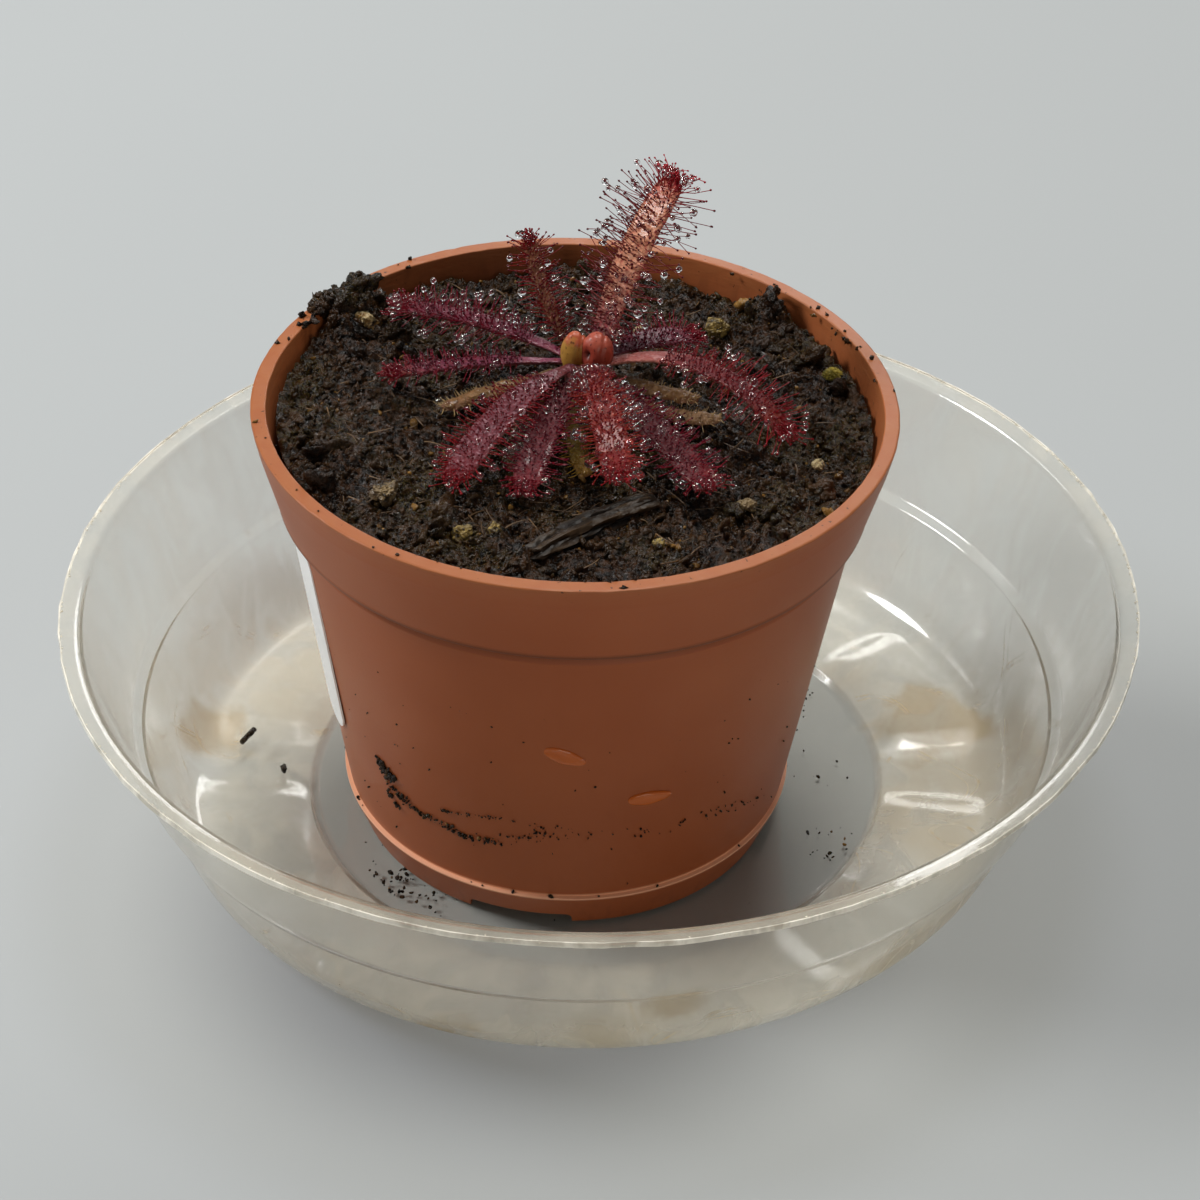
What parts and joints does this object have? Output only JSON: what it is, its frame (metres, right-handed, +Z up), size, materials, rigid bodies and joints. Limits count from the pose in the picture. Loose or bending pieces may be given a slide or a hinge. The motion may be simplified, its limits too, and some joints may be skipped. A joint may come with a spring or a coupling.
{
  "type": "potted sundew",
  "caption": "Sundew rosette with tentacled red leaves, in a tapered plastic nursery pot of wet peat, standing on a clear dish-shaped saucer.",
  "frame": {"origin": "centre of the saucer's underside, on the surface it stands on", "axes": "+Z up, -Y towards the front, where the picture was taken from"},
  "size_m": [0.1564, 0.1532, 0.0976],
  "materials": {
    "clear_plastic": "clear vacuum-formed sheet, slightly yellowed",
    "terracotta_plastic": "moulded polypropylene, satin",
    "label_paper": "white coated label",
    "wet_peat": "wet, lumpy",
    "stem_tissue": "dull",
    "bud_golden": "waxy",
    "bud_red": "waxy",
    "leaf_red": "moist, with sticky tentacles",
    "leaf_withered": "dry",
    "grit": "rough grain",
    "moss": "tufted",
    "bark": "weathered"
  },
  "bodies": {
    "root": {"saucer": "clear_plastic", "pot": "terracotta_plastic", "label": "label_paper", "soil": "wet_peat", "stem_crown": "stem_tissue", "bud_golden": "bud_golden", "bud_red": "bud_red", "leaf_upright": "leaf_red", "leaf_folded": "leaf_red", "leaf_left_back": "leaf_red", "leaf_left": "leaf_red", "leaf_front_left": "leaf_red", "leaf_front_centre_left": "leaf_red", "leaf_front_centre": "leaf_red", "leaf_front_right": "leaf_red", "leaf_right_arched": "leaf_red", "leaf_right_back": "leaf_red", "leaf_withered_left": "leaf_withered", "leaf_withered_front": "leaf_withered", "leaf_withered_right_low": "leaf_withered", "leaf_withered_right": "leaf_withered", "grit_left_back": "grit", "grit_back": "grit", "grit_back_small": "grit", "grit_left_front": "grit", "grit_front_left": "grit", "grit_front_left_small": "grit", "grit_front_right": "grit", "grit_right_small": "grit", "grit_front_small": "grit", "moss_tuft": "moss", "bark_strip": "bark"}
  },
  "joints": []
}
